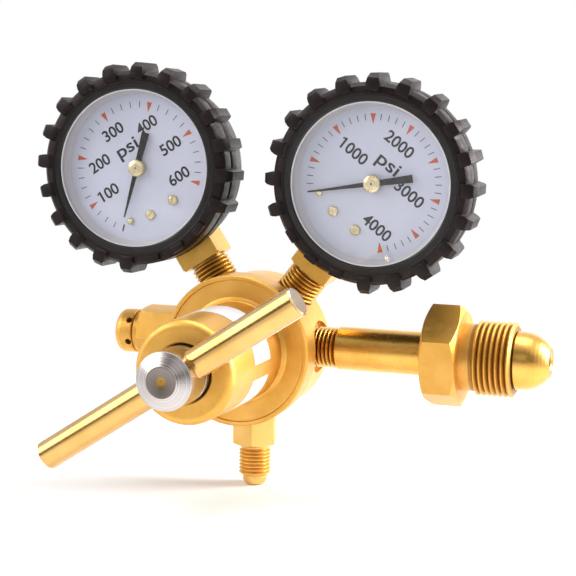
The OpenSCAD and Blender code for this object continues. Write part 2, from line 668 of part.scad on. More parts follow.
// Slotted screws through the dial into the movement's front plate
module gauge_dial_screws() color(bright_brass) for (side = [-1, 1])
    translate([side * dial_screw_x, -dial_face, -dial_screw_drop]) rotate([90, 0, 0]) difference() {
        union() {
            turned(concat([[1.75, rest_gap]], arc([0.95, 0.3], 0.8, 0, 90, 4)));
            translate([0, 0, -dial_t - 0.8]) cylinder(r = 0.85, h = dial_t + 1);
        }
        rotate([0, 0, 35 + side * 20]) translate([-2, -0.2, 0.7]) cube([4, 0.4, 1]);
    }

module gauge_stop_pin() color(bright_brass) forward(dial_face) rotate([0, 0, 225])
    translate([pointer_l - 3.2, 1.15, -dial_t]) cylinder(r = 0.52, h = dial_t + 1.6);

// Pointer at zero: long taper, wide tail and domed hub
module gauge_pointer() color(black_paint) forward(dial_face + 1.5) rotate([0, 0, 225]) difference() {
    union() {
        linear_extrude(0.5) polygon([[pointer_l, 0.2], [pointer_l, -0.2], [0, -1.25], [-tail_l, -1.65],
            [-tail_l, 1.65], [0, 1.25]]);
        translate([0, 0, -0.6]) turned(concat([[pointer_hub_r - 0.8, 0], [pointer_hub_r, 0.6]],
            arc([pointer_hub_r - 0.9, 1.2], 0.9, 0, 90, 4)));
    }
    translate([0, 0, -over]) cylinder(r = shaft_r, h = 2.6);
}

// Pinion and its shaft, which carries the pointer
module gauge_pinion() color(bright_brass) {
    forward(movement_rear + 0.1) cylinder(r = shaft_r - 0.02, h = dial_face + 2.3 - movement_rear);
    forward(gear_rear) linear_extrude(gear_front - gear_rear) rotate(-90)
        gear_outline(pinion_r, pinion_teeth, pinion_teeth);
}

// Spur outline with narrow teeth: pitch radius, teeth in a full turn, teeth drawn
module gear_outline(pitch_r, full, drawn) {
    circle(r = pitch_r - 0.35);
    for (i = [0 : drawn - 1]) rotate(i * 360 / full)
        polygon([[pitch_r - 0.5, -0.2], [pitch_r + 0.22, -0.1], [pitch_r + 0.22, 0.1],
            [pitch_r - 0.5, 0.2]]);
}

// Toothed sector: its teeth start at the pinion and follow clockwise
module gauge_sector_gear() color(bright_brass) forward(gear_rear) translate([0, -pivot_drop, 0]) {
    teeth = pinion_teeth * gear_ratio;
    step = 360 / teeth;
    difference() {
        linear_extrude(gear_front - gear_rear) union() {
            intersection() {
                circle(r = sector_r - 0.35);
                union() {
                    polygon([[0, 0], 2 * sector_r * [cos(90 + 2 * step), sin(90 + 2 * step)],
                        2 * sector_r * [cos(70), sin(70)],
                        2 * sector_r * [cos(90 - 7.5 * step), sin(90 - 7.5 * step)]]);
                    circle(r = 2.2);
                }
            }
            for (i = [-1 : 6]) rotate(90 - (i + 0.5) * step)
                polygon([[sector_r - 0.5, -0.2], [sector_r + 0.22, -0.1], [sector_r + 0.22, 0.1],
                    [sector_r - 0.5, 0.2]]);
        }
        translate([0, 0, -over]) linear_extrude(4 + 2 * over) difference() {
            intersection() {
                circle(r = sector_r - 2);
                polygon([[0, 0], 2 * sector_r * [cos(90 + step), sin(90 + step)],
                    2 * sector_r * [cos(90 - 6.5 * step), sin(90 - 6.5 * step)]]);
            }
            circle(r = 3.6);
            rotate(90 - 2.75 * step) translate([0, -0.6]) square([sector_r, 1.2]);
        }
    }
    translate([0, 0, -0.25 - plate_t]) cylinder(r = shaft_r, h = gear_front - gear_rear + 2 * plate_t + 0.4);
}

// Two plates on pillars that carry the pinion and the sector
module gauge_movement() color(bright_brass) difference() {
    union() {
        for (depth = [movement_rear, movement_front]) forward(depth) linear_extrude(plate_t)
            translate([-plate_half, -plate_foot]) square([2 * plate_half, plate_foot + plate_head]);
        for (side = [-1, 1]) for (z = [pillar_in - plate_foot, plate_head - pillar_in])
            translate([side * (plate_half - 1.5), 0, z]) forward(movement_rear)
            cylinder(r = 1.1, h = movement_front - movement_rear + 0.1);
    }
    for (z = [0, -pivot_drop]) translate([0, 0, z]) forward(movement_rear - over)
        cylinder(r = shaft_r + screwed_gap, h = dial_face);
    for (side = [-1, 1]) translate([side * dial_screw_x, 0, -dial_screw_drop]) forward(movement_front - over)
        cylinder(r = 0.9, h = dial_face);
}

// Flattened tube bent nearly three quarters of a turn, from the socket's block
module gauge_pressure_tube() color(bright_brass) forward(-case_back + 2.2) rotate([0, 0, -64.5])
    rotate_extrude(angle = 262) translate([tube_bend_r, 0]) difference() {
        tube_outline(3.4, 8.6);
        translate([0, 0.5]) tube_outline(2.4, 7.6);
    }

// Flat oval, standing on the x axis
module tube_outline(w, h) {
    translate([0, w / 2]) circle(r = w / 2);
    translate([0, h - w / 2]) circle(r = w / 2);
    translate([-w / 2, w / 2]) square([w, h - w]);
}

// Socket: block inside the case, square shank and taper thread, bored for the gas
module gauge_socket(reach) color(brass) difference() {
    union() {
        translate([-shank_w / 2, -shank_w / 2, shank_start - reach])
            cube([shank_w, shank_w, block_top - shank_start + reach]);
        translate([0, 0, -reach]) turned(concat(
            [[pipe_root_r - 0.5, port_bottom + moving_gap], [pipe_root_r, port_bottom + moving_gap + 0.8]],
            thread_side(gauge_port_face + rest_gap, 6, pipe_pitch, pipe_r, pipe_root_r),
            [[pipe_root_r, shank_start + over]]));
    }
    translate([0, 0, port_bottom - reach]) cylinder(r = passage_r, h = reach - port_bottom - 24);
    // Corners cut back at the shank's lower end
    for (i = [0 : 3]) rotate([0, 0, 45 + 90 * i]) translate([shank_w / sqrt(2) - 1.6, -shank_w / 2,
        shank_start - reach - over]) rotate([0, 30, 0]) translate([0, 0, -3]) cube([6, shank_w, 5]);
}

// Rubber boot: sleeve with a front lip, teeth all round but at the stem
module gauge_boot() color(black_rubber) difference() {
    union() {
        forward(0) rotate_extrude() polygon([[boot_bore_r, boot_rear], [boot_r - 0.8, boot_rear],
            [boot_r, boot_rear + 0.8], [boot_r, boot_rear + 5], [boot_r - 0.5, boot_rear + 5.5],
            [boot_r - 0.5, boot_rear + 6.5], [boot_r, boot_rear + 7], [boot_r, boot_face - 2.2],
            [boot_r - 1.2, boot_face - 0.6], [boot_lip_r + 0.6, boot_face],
            [boot_lip_r, bezel_front + rest_gap], [boot_bore_r - 0.4, bezel_front + rest_gap],
            [boot_bore_r, bezel_front - 0.6]]);
        first = (tooth_gap + 1) / 2;
        for (i = [first : tooth_pitches - first]) rotate([0, 180 + i * 360 / tooth_pitches, 0]) boot_tooth();
        // At the stem only the ribs on the front go round
        for (i = [1 - first : first - 1]) rotate([0, 180 + i * 360 / tooth_pitches, 0]) intersection() {
            boot_tooth();
            forward(boot_face - 2) cylinder(r = boot_r - 0.6, h = rib_h + 2 + over);
        }
    }
    translate([-shank_w / 2 - 0.2, -shank_w / 2 - 0.2, -tooth_r]) cube([shank_w + 0.4, shank_w + 4, tooth_r]);
}

// One tooth, standing along +z: a rib over the front face that runs back over the sleeve
module boot_tooth() intersection() {
    translate([-tooth_r / 2, 0, 0]) rotate([90, 0, 90]) linear_extrude(tooth_r) polygon([
        [-boot_rear - 0.6, boot_bore_r + 0.6], [-boot_rear - 0.6, tooth_r - 0.8],
        [-boot_rear - 1.6, tooth_r], [-boot_front + 2.6, tooth_r], [-boot_front + 0.4, tooth_r - 1.4],
        [-boot_front, boot_r - 1], [-boot_front, boot_lip_r + 1.6],
        [-bezel_front - 0.3, boot_lip_r + 0.9], [-bezel_front - 0.3, boot_bore_r + 0.6]]);
    translate([0, -boot_rear + over, 0]) rotate([90, 0, 0]) linear_extrude(boot_depth + 2 * over)
        polygon([[-tooth_root_w / 2, boot_lip_r - over], [tooth_root_w / 2, boot_lip_r - over],
            [tooth_root_w / 2, boot_r], [tooth_tip_w / 2, tooth_r + 0.01],
            [-tooth_tip_w / 2, tooth_r + 0.01], [-tooth_root_w / 2, boot_r]]);
}

module low_case() low_place() gauge_case();
module low_bezel() low_place() gauge_bezel();
module low_lens() low_place() gauge_lens();
module low_dial() low_place() gauge_dial();
module low_dial_screws() low_place() gauge_dial_screws();
module low_stop_pin() low_place() gauge_stop_pin();
module low_pointer() low_place() gauge_pointer();
module low_pinion() low_place() gauge_pinion();
module low_sector_gear() low_place() gauge_sector_gear();
module low_movement() low_place() gauge_movement();
module low_pressure_tube() low_place() gauge_pressure_tube();
module low_socket() low_place() gauge_socket(low_reach);
module low_boot() low_place() gauge_boot();
module high_case() high_place() gauge_case();
module high_bezel() high_place() gauge_bezel();
module high_lens() high_place() gauge_lens();
module high_dial() high_place() gauge_dial();
module high_dial_screws() high_place() gauge_dial_screws();
module high_stop_pin() high_place() gauge_stop_pin();
module high_pointer() high_place() gauge_pointer();
module high_pinion() high_place() gauge_pinion();
module high_sector_gear() high_place() gauge_sector_gear();
module high_movement() high_place() gauge_movement();
module high_pressure_tube() high_place() gauge_pressure_tube();
module high_socket() high_place() gauge_socket(high_reach);
module high_boot() high_place() gauge_boot();

body();
bonnet();
bonnet_label();
slip_ring();
diaphragm();
diaphragm_plate();
main_spring();
spring_button();
thrust_ball();
adjusting_screw();
handle_bar();
seat_nozzle();
valve_poppet();
valve_spring();
inlet_nipple();
inlet_nut();
inlet_filter();
outlet_fitting();
relief_body();
relief_cap();
relief_poppet();
relief_spring();
low_case();
low_bezel();
low_lens();
low_dial();
low_dial_screws();
low_stop_pin();
low_pointer();
low_pinion();
low_sector_gear();
low_movement();
low_pressure_tube();
low_socket();
low_boot();
high_case();
high_bezel();
high_lens();
high_dial();
high_dial_screws();
high_stop_pin();
high_pointer();
high_pinion();
high_sector_gear();
high_movement();
high_pressure_tube();
high_socket();
high_boot();
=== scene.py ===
from math import cos, pi, radians, sin

import bmesh
import bpy
from mathutils import Matrix, Vector


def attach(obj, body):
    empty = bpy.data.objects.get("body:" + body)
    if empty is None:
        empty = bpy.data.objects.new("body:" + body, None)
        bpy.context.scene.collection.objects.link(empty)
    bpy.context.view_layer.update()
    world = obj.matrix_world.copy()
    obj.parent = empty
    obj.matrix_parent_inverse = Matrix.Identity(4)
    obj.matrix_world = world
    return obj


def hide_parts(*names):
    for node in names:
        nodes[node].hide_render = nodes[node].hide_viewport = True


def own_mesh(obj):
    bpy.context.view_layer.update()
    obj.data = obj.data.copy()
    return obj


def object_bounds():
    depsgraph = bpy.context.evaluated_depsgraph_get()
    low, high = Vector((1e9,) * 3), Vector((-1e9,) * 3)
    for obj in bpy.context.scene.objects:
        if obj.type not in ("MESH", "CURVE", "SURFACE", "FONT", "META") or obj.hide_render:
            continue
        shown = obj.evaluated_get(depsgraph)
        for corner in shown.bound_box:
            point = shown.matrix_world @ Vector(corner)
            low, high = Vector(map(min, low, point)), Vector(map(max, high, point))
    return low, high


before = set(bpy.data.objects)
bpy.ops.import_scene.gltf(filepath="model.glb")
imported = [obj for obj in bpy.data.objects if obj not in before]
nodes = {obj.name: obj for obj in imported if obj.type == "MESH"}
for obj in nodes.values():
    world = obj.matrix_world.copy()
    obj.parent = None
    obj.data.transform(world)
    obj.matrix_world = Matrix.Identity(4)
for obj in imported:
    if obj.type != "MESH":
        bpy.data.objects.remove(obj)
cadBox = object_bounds()
print("regulator loaded:", len(nodes), "nodes")

# Lengths are in metres. The gauges' own pieces are given in millimetres, times mm.
mm = 0.001
# The body's centre lies behind the origin, along the inlet axis.
bodyCentre = Vector((-0.0894724, 0, 0))
centre = tuple(bodyCentre)
white = (1, 1, 1, 1)


def inScene(name, data):
    made = bpy.data.objects.new(name, data)
    bpy.context.scene.collection.objects.link(made)
    return made


camera = {"place": (0.100608, -0.50737, 0.09011), "azimuth": 19.407, "elevation": 7.495,
          "roll": 0.7, "lens": 100.06, "sensor": 36, "nearest": 0.01}


def setCamera(c):
    azimuth, elevation, roll = (radians(c[key]) for key in ("azimuth", "elevation", "roll"))
    back = Vector((sin(azimuth) * cos(elevation), -cos(azimuth) * cos(elevation),
                   sin(elevation)))
    right = Vector((0, 0, 1)).cross(back).normalized()
    up = back.cross(right)
    across = right * cos(roll) + up * sin(roll)
    upright = up * cos(roll) - right * sin(roll)
    place = Matrix((across, upright, back)).transposed().to_4x4()
    place.translation = c["place"]
    cam = inScene("productCamera", bpy.data.cameras.new("productCamera"))
    cam.matrix_world = place
    cam.data.lens = c["lens"]
    cam.data.sensor_width = c["sensor"]
    cam.data.clip_start = c["nearest"]
    bpy.context.scene.camera = cam


setCamera(camera)
bpy.context.scene.view_settings.view_transform = "Standard"


def feed(tree, target, inputs):
    # each input gets a constant or another node's output
    for socket, value in inputs.items():
        if isinstance(value, bpy.types.NodeSocket):
            tree.links.new(value, target.inputs[socket])
        else:
            target.inputs[socket].default_value = value


def shaderNode(tree, kind, inputs=None, **settings):
    made = tree.nodes.new("ShaderNode" + kind)
    for key, value in settings.items():
        setattr(made, key, value)
    feed(tree, made, inputs or {})
    return made


def newMaterial(name):
    mat = bpy.data.materials.new(name)
    mat.use_nodes = True
    tree = mat.node_tree
    tree.nodes.clear()
    shader = shaderNode(tree, "BsdfPrincipled")
    shaderNode(tree, "OutputMaterial", {"Surface": shader.outputs[0]})
    return mat, tree, shader


def blendSurface(tree, share, shader, over):
    # the second shader takes its share of the surface that the first one had
    surface = shader.outputs[0].links[0].to_socket
    mixed = shaderNode(tree, "MixShader", {0: share, 1: shader.outputs[0], 2: over.outputs[0]})
    tree.links.new(mixed.outputs[0], surface)


def calc(tree, operation, first, second):
    return shaderNode(tree, "Math", {0: first, 1: second}, operation=operation).outputs[0]


def mixColour(tree, share, first, second, blend="MIX"):
    return shaderNode(tree, "Mix", {0: share, 6: first, 7: second}, data_type="RGBA",
                      blend_type=blend).outputs[2]


def ramp(tree, source, stops):
    made = shaderNode(tree, "ValToRGB", {"Fac": source})
    elements = made.color_ramp.elements
    while len(elements) < len(stops):
        elements.new(0.5)
    for element, (place, colour) in zip(elements, stops):
        element.position = place
        element.color = (*colour, 1)
    return made.outputs["Color"]


def toRange(tree, value, low, high, fromLow=0.0, fromHigh=1.0):
    return shaderNode(tree, "MapRange", {"Value": value, "From Min": fromLow,
                                         "From Max": fromHigh, "To Min": low,
                                         "To Max": high}).outputs["Result"]


# The room is what polished metal sees: dim in front, white paper below and behind.
# Its bounds are directions, from -1 to 1.
studio = {"floorColour": (0.93, 0.93, 0.93, 1), "floorRough": 0.9, "floorDrop": 0.0002,
          "floorSize": 3, "fadeFrom": 0.16, "fadeTo": 0.34, "ambient": 0.5,
          "wall": [(0.0, (0.95, 0.94, 0.93)), (0.12, (0.72, 0.71, 0.70)),
                   (0.40, (0.78, 0.77, 0.76)), (0.66, (1.0, 1.0, 1.0))],
          "room": (0.20, 0.175, 0.16, 1), "roomAhead": (-0.72, -0.35),
          "roomAbove": (-0.42, -0.18), "back": 2.2, "backFrom": (0.75, 0.97)}
lampAim = bodyCentre + Vector((0.01, -0.02, 0.02))
lamps = {
    "keyBox": {"place": (-0.80, -0.46, 0.45), "power": 4.2, "wide": 0.75, "tall": 0.6},
    "sideBox": {"place": (0.55, 0.22, 0.25), "power": 11.0, "wide": 0.35, "tall": 0.5},
    "topBox": {"place": (-0.08, 0.05, 0.75), "power": 3.3, "wide": 0.6, "tall": 0.4},
    "frontFill": {"place": (0.05, -0.8, 0.35), "power": 0.25, "wide": 0.5, "tall": 0.3},
}


def addFloor(s):
    under = Vector((bodyCentre.x, 0, cadBox[0][2]))
    bm = bmesh.new()
    bmesh.ops.create_grid(bm, x_segments=2, y_segments=2, size=s["floorSize"])
    bmesh.ops.translate(bm, verts=bm.verts, vec=under - Vector((0, 0, s["floorDrop"])))
    mesh = bpy.data.meshes.new("studioFloor")
    bm.to_mesh(mesh)
    bm.free()
    floor = inScene("studioFloor", mesh)
    mat, tree, shader = newMaterial("whitePaper")
    feed(tree, shader, {"Base Color": s["floorColour"], "Roughness": s["floorRough"]})
    # further out the paper runs into the white of the room
    place = shaderNode(tree, "TexCoord").outputs["Object"]
    apart = shaderNode(tree, "VectorMath", {0: place, 1: under}, operation="DISTANCE")
    fade = shaderNode(tree, "MapRange", {"Value": apart.outputs["Value"],
                                         "From Min": s["fadeFrom"], "From Max": s["fadeTo"]},
                      interpolation_type="SMOOTHSTEP")
    room = shaderNode(tree, "Emission", {"Color": white, "Strength": 1.0})
    blendSurface(tree, fade.outputs["Result"], shader, room)
    mesh.materials.append(mat)


def addWorld(s):
    world = bpy.data.worlds.new("studioWorld")
    bpy.context.scene.world = world
    world.use_nodes = True
    tree = world.node_tree
    tree.nodes.clear()
    where = shaderNode(tree, "TexCoord").outputs["Generated"]
    parts = shaderNode(tree, "SeparateXYZ", {0: where}).outputs
    ahead = toRange(tree, parts["Y"], 1, 0, *s["roomAhead"])
    raised = toRange(tree, parts["Z"], 0, 1, *s["roomAbove"])
    dim = calc(tree, "MULTIPLY", ahead, raised)
    wall = mixColour(tree, dim, ramp(tree, parts["Z"], s["wall"]), s["room"])
    behind = toRange(tree, parts["Y"], 1, s["back"], *s["backFrom"])
    ambient = shaderNode(tree, "Background", {"Color": white, "Strength": s["ambient"]})
    mirror = shaderNode(tree, "Background", {"Color": wall, "Strength": behind})
    plain = shaderNode(tree, "Background", {"Color": white, "Strength": 1.0})
    path = shaderNode(tree, "LightPath").outputs
    seen = calc(tree, "MAXIMUM", path["Is Camera Ray"], path["Is Transmission Ray"])
    lit = shaderNode(tree, "MixShader", {0: path["Is Glossy Ray"], 1: ambient.outputs[0],
                                         2: mirror.outputs[0]})
    shown = shaderNode(tree, "MixShader", {0: seen, 1: lit.outputs[0], 2: plain.outputs[0]})
    shaderNode(tree, "OutputWorld", {"Surface": shown.outputs[0]})


def addLamp(name, box):
    lamp = bpy.data.lights.new(name, "AREA")
    lamp.energy = box["power"]
    lamp.shape = "RECTANGLE"
    lamp.size = box["wide"]
    lamp.size_y = box["tall"]
    turn = (lampAim - Vector(box["place"])).to_track_quat("-Z", "Y").to_matrix().to_4x4()
    inScene(name, lamp).matrix_world = Matrix.Translation(box["place"]) @ turn


addFloor(studio)
addWorld(studio)
for name, box in lamps.items():
    addLamp(name, box)
print("studio set")


def objectPlace(tree, axisPlace=(0, 0, 0), turn=(0, 0, 0)):
    # object coordinates with the piece's own axis moved onto z
    coordinates = shaderNode(tree, "TexCoord").outputs["Object"]
    moved = shaderNode(tree, "Mapping", {"Vector": coordinates,
                                         "Location": [-c for c in axisPlace]})
    return shaderNode(tree, "Mapping", {"Vector": moved.outputs[0],
                                        "Rotation": turn}).outputs[0]


def noise(tree, place, size, detail=3, rough=0.55):
    return shaderNode(tree, "TexNoise", {"Vector": place, "Scale": size, "Detail": detail,
                                         "Roughness": rough}).outputs["Fac"]


def noiseRange(tree, value, low, high, fromHigh=0.7):
    # noise stays near its middle, so that part is stretched
    return toRange(tree, value, low, high, 0.3, fromHigh)


def bumped(tree, height, strength, depth, under=None):
    inputs = {"Strength": strength, "Distance": depth, "Height": height}
    if under is not None:
        inputs["Normal"] = under
    return shaderNode(tree, "Bump", inputs).outputs[0]


def lathe(tree, place):
    # distance along the axis and out from it
    parts = shaderNode(tree, "SeparateXYZ", {0: place}).outputs
    flat = shaderNode(tree, "CombineXYZ", {"X": parts["X"], "Y": parts["Y"]}).outputs[0]
    out = shaderNode(tree, "VectorMath", {0: flat}, operation="LENGTH").outputs["Value"]
    return parts["Z"], out


def turnedMarks(tree, along, out, size):
    return shaderNode(tree, "TexNoise", {"W": calc(tree, "ADD", along, out), "Scale": size,
                                         "Detail": 4, "Roughness": 0.7},
                      noise_dimensions="1D").outputs["Fac"]


# grooveShadeColour is painted shade for the thread grooves
brassLook = {"deep": (0.68, 0.355, 0.055), "pale": (0.84, 0.485, 0.115),
             "grooveShadeColour": (0.14, 0.06, 0.012, 1), "cloudSize": 70, "streakSize": 2600,
             "fineSize": 900, "pitSize": 620, "streakDepth": 0.00004, "pitDepth": 0.0004,
             "coat": 0.25, "coatRough": 0.3}


def brassFinish(name, place, turn, rough, marks, cast=0.0, groove=None, litEndHighlight=None, **look):
    look = {**brassLook, **look}
    mat, tree, shader = newMaterial(name)
    spot = objectPlace(tree, place, turn)
    along, radius = lathe(tree, spot)
    cloud = noise(tree, spot, look["cloudSize"], 4)
    colour = ramp(tree, cloud, [(0.30, look["deep"]), (0.70, look["pale"])])
    if groove:
        # painted shade: thread grooves are painted brown below this radius, between two places
        # on the axis
        sunk = toRange(tree, radius, 1, 0, groove["root"], groove["crest"])
        after = calc(tree, "GREATER_THAN", along, groove["start"])
        before = calc(tree, "LESS_THAN", along, groove["end"])
        grooveShadeMask = calc(tree, "MULTIPLY", calc(tree, "MULTIPLY", after, before), sunk)
        share = calc(tree, "MULTIPLY", grooveShadeMask, groove["depth"])
        colour = mixColour(tree, share, colour, look["grooveShadeColour"])
    if litEndHighlight:
        # painted highlight: the end faces are painted paler, as if lit from the side
        past = calc(tree, "GREATER_THAN", along, litEndHighlight["high"])
        short = calc(tree, "LESS_THAN", along, litEndHighlight["low"])
        colour = mixColour(tree, calc(tree, "ADD", past, short), colour, litEndHighlight["colour"])
    bump = bumped(tree, turnedMarks(tree, along, radius, look["streakSize"]), marks,
                  look["streakDepth"])
    if cast:
        bump = bumped(tree, noise(tree, spot, look["pitSize"], 5, 0.6), cast,
                      look["pitDepth"], bump)
    fine = noise(tree, spot, look["fineSize"], 2)
    feed(tree, shader, {"Base Color": colour, "Metallic": 1, "Coat Weight": look["coat"],
                        "Coat Roughness": look["coatRough"],
                        "Roughness": noiseRange(tree, fine, *rough), "Normal": bump})
    return mat


alongX = (0, radians(-90), 0)
alongY = (radians(-90), 0, 0)
barSlope = 33.1
barPlace, barTurn = (centre[0], -0.07065, 0), (0, radians(barSlope - 90), 0)
reliefPlace, reliefTurn = (centre[0], 0, 0.0011), (0, radians(90), 0)
gaugeLeans = {"low": -33.2, "high": 37.9}
brasses = {
    "forgedBodyBrass": {"place": centre, "turn": alongY, "rough": (0.36, 0.48),
                        "marks": 0.10, "cast": 0.04},
    "castBonnetBrass": {"place": centre, "turn": alongY, "rough": (0.42, 0.54),
                        "marks": 0.12, "cast": 0.06},
    "turnedNutBrass": {"place": centre, "turn": alongX, "rough": (0.46, 0.58), "marks": 0.05,
                       "groove": {"root": 0.0109, "crest": 0.0121, "start": 0.0765,
                                  "end": 0.0903, "depth": 0.65},
                       "deep": (0.62, 0.325, 0.05), "pale": (0.76, 0.43, 0.10)},
    "turnedNippleBrass": {"place": centre, "turn": alongX, "rough": (0.27, 0.31),
                          "marks": 0.03,
                          "groove": {"root": 0.0059, "crest": 0.0068, "start": 0.019,
                                     "end": 0.0302, "depth": 0.9}},
    "turnedOutletBrass": {"place": centre, "turn": (radians(180), 0, 0),
                          "rough": (0.28, 0.42), "marks": 0.08,
                          "groove": {"root": 0.0047, "crest": 0.0055, "start": 0.0355,
                                     "end": 0.0462, "depth": 0.2},
                          "deep": (0.78, 0.45, 0.11), "pale": (0.93, 0.60, 0.20)},
    "turnedReliefBrass": {"place": reliefPlace, "turn": reliefTurn, "rough": (0.42, 0.54),
                          "marks": 0.05,
                          "groove": {"root": 0.0059, "crest": 0.0068, "start": 0.019,
                                     "end": 0.0243, "depth": 0.8}},
    "drawnBarBrass": {"place": barPlace, "turn": barTurn, "rough": (0.12, 0.20),
                      "marks": 0.05, "deep": (0.64, 0.36, 0.08), "pale": (0.76, 0.47, 0.14),
                      # its paler end faces are a painted highlight
                      "litEndHighlight": {"low": -0.0512, "high": 0.0467,
                               "colour": (1.0, 0.76, 0.40, 1)}, "coat": 1.0},
    "smallPartsBrass": {"place": centre, "turn": alongY, "rough": (0.16, 0.28),
                        "marks": 0.15, "deep": (0.62, 0.42, 0.17),
                        "pale": (0.90, 0.70, 0.38)},
    "paleDialBrass": {"place": centre, "turn": alongY, "rough": (0.2, 0.34), "marks": 0.1,
                      "deep": (0.52, 0.42, 0.22), "pale": (0.82, 0.71, 0.46)},
}
for side, lean in gaugeLeans.items():
    brasses[side + "SocketBrass"] = {
        "place": centre, "turn": (0, radians(-lean), 0), "rough": (0.36, 0.48),
        "marks": 0.05, "groove": {"root": 0.0058, "crest": 0.0067, "start": 0.015,
                                  "end": 0.045, "depth": 0.8},
        "deep": (0.56, 0.32, 0.05), "pale": (0.76, 0.45, 0.10)}
brass = {name: brassFinish(name, **look) for name, look in brasses.items()}

wireLook = {"dark": (0.12, 0.12, 0.13), "pale": (0.3, 0.3, 0.32), "ringSize": 3200,
            "rough": (0.2, 0.34), "marks": 0.45, "depth": 0.00005}


def wireFinish(name, look):
    mat, tree, shader = newMaterial(name)
    along, radius = lathe(tree, objectPlace(tree, centre, alongY))
    rings = turnedMarks(tree, along, radius, look["ringSize"])
    feed(tree, shader, {"Base Color": ramp(tree, rings, [(0.25, look["dark"]),
                                                         (0.6, look["pale"])]),
                        "Metallic": 1, "Roughness": noiseRange(tree, rings, *look["rough"]),
                        "Normal": bumped(tree, rings, look["marks"], look["depth"])})
    return mat


# The zones run from the middle of the hub's end to zoneReach out from it; their grey band
# darkens the flat as painted reflection of the dim room ahead.
hubLook = {"steel": [(0.3, (0.40, 0.36, 0.35)), (0.62, (0.62, 0.58, 0.57))],
           "zones": [(0.0, (0.72, 0.45, 0.10)), (0.155, (0.66, 0.42, 0.10)),
                     (0.17, (0.40, 0.36, 0.31)), (0.48, (0.48, 0.45, 0.42)),
                     (0.50, (1, 1, 1))],
           "zoneReach": 0.01, "endFrom": 0.0779, "ringSize": 5200, "rough": (0.18, 0.26),
           "brushed": 0.7, "marks": 0.12, "depth": 0.00003}


def hubFinish(name, look):
    # turned end of the hub: pale cone, a flat painted darker as painted reflection of the dim
    # room ahead, and a brass-coloured middle
    mat, tree, shader = newMaterial(name)
    along, radius = lathe(tree, objectPlace(tree, centre, alongY))
    rings = turnedMarks(tree, along, radius, look["ringSize"])
    zone = toRange(tree, radius, 0, 1, 0, look["zoneReach"])
    onEnd = calc(tree, "GREATER_THAN", along, look["endFrom"])
    tint = mixColour(tree, onEnd, white, ramp(tree, zone, look["zones"]))
    colour = mixColour(tree, 1.0, ramp(tree, rings, look["steel"]), tint, "MULTIPLY")
    tangent = shaderNode(tree, "Tangent", direction_type="RADIAL", axis="Y")
    feed(tree, shader, {"Base Color": colour, "Metallic": 1, "Anisotropic": look["brushed"],
                        "Tangent": tangent.outputs[0],
                        "Roughness": noiseRange(tree, rings, *look["rough"]),
                        "Normal": bumped(tree, rings, look["marks"], look["depth"])})
    return mat


hubSteel = hubFinish("turnedHubSteel", hubLook)
springSteel = wireFinish("springWireSteel", wireLook)

rubberLook = {"rough": (0.34, 0.52), "specular": 0.25, "tint": (1, 0.86, 0.83, 1),
              "cloudSize": 55, "grainSize": 1500, "grainDepth": 0.0002, "waveSize": 140,
              "wave": 0.22, "waveDepth": 0.0008}


def rubberFinish(name, look, colour, edge, grainStrength):
    mat, tree, shader = newMaterial(name)
    place = objectPlace(tree)
    cloud = noise(tree, place, look["cloudSize"], 5)
    grain = noise(tree, place, look["grainSize"], 3)
    bump = bumped(tree, grain, grainStrength, look["grainDepth"])
    wavy = bumped(tree, noise(tree, place, look["waveSize"], 2), look["wave"],
                  look["waveDepth"], bump)
    feed(tree, shader, {"Base Color": ramp(tree, cloud, [(0.3, colour), (0.75, edge)]),
                        "Roughness": noiseRange(tree, grain, *look["rough"]),
                        "Specular IOR Level": look["specular"],
                        "Specular Tint": look["tint"], "Normal": wavy})
    return mat


bootRubber = rubberFinish("bootRubber", rubberLook, (0.0065, 0.0048, 0.0046),
                          (0.013, 0.0098, 0.0094), 0.15)
diaphragmRubber = rubberFinish("diaphragmRubber", rubberLook, (0.02, 0.018, 0.018),
                               (0.05, 0.045, 0.045), 0.4)


paintLook = {"peel": 0.08, "peelDepth": 0.0001, "shine": 0.5, "coat": 0.0,
             "coatRough": 0.08, "cloudSize": 90, "skinSize": 700, "smoother": 0.8,
             "rougher": 1.25, "lift": 0.01}


def paintFinish(name, colour, spread, rough, **look):
    look = {**paintLook, **look}
    mat, tree, shader = newMaterial(name)
    place = objectPlace(tree)
    lighter = tuple(min(1, c * (1 + spread) + spread * look["lift"]) for c in colour)
    cloud = noise(tree, place, look["cloudSize"], 4)
    skin = noise(tree, place, look["skinSize"], 2)
    feed(tree, shader, {"Base Color": ramp(tree, cloud, [(0.3, colour), (0.7, lighter)]),
                        "Roughness": noiseRange(tree, skin, rough * look["smoother"],
                                                rough * look["rougher"]),
                        "Normal": bumped(tree, skin, look["peel"], look["peelDepth"]),
                        "Specular IOR Level": look["shine"], "Coat Weight": look["coat"],
                        "Coat Roughness": look["coatRough"]})
    return mat


paints = {
    "blackEnamel": {"colour": (0.008, 0.007, 0.007), "spread": 0.4, "rough": 0.38,
                    "coat": 0.2, "shine": 0.3},
    "pointerPaint": {"colour": (0.010, 0.007, 0.003), "spread": 0.3, "rough": 0.6,
                     "shine": 0.15},
    "dialWhite": {"colour": (0.60, 0.61, 0.725), "spread": 0.03, "rough": 0.5},
    "printBlack": {"colour": (0.014, 0.014, 0.016), "spread": 0.3, "rough": 0.6,
                   "shine": 0.2},
    "tickGrey": {"colour": (0.06, 0.065, 0.08), "spread": 0.3, "rough": 0.6},
    "wedgeOrange": {"colour": (0.52, 0.08, 0.024), "spread": 0.12, "rough": 0.6},
    "labelFilm": {"colour": (0.76, 0.75, 0.77), "spread": 0.03, "rough": 0.35,
                  "peel": 0.1},
    "poppetCoating": {"colour": (0.05, 0.05, 0.055), "spread": 0.3, "rough": 0.4},
    "innerRingSilver": {"colour": (0.56, 0.545, 0.57), "spread": 0.06, "rough": 0.4},
}
paint = {name: paintFinish(name, **look) for name, look in paints.items()}

